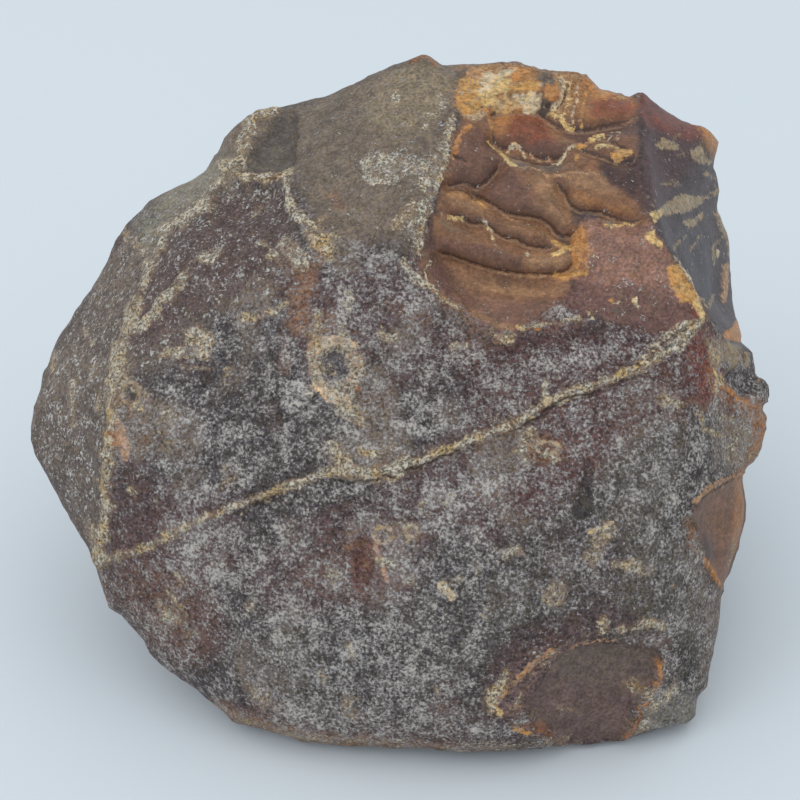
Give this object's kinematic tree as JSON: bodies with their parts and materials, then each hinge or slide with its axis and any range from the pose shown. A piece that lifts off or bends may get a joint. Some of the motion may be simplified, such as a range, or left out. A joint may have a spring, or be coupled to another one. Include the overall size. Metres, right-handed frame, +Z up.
{
  "type": "agate nodule",
  "caption": "Rough, unopened agate nodule: a lumpy weathered stone with a fresh waxy break at its upper right, resting on its own flat underside.",
  "frame": {"origin": "on the surface that the stone rests on, below the middle of its bounding box", "axes": "+Z up from the resting flat; -Y towards the side with the broad weathered face; +X towards the end with the chip and the dark face, along the stone's longest side"},
  "size_m": [0.1828, 0.1402, 0.1325],
  "materials": {
    "weathered_agate": "weathered, grainy and dull, waxy on the fresh break"
  },
  "bodies": {
    "root": {"agate_nodule": "weathered_agate"}
  },
  "joints": []
}
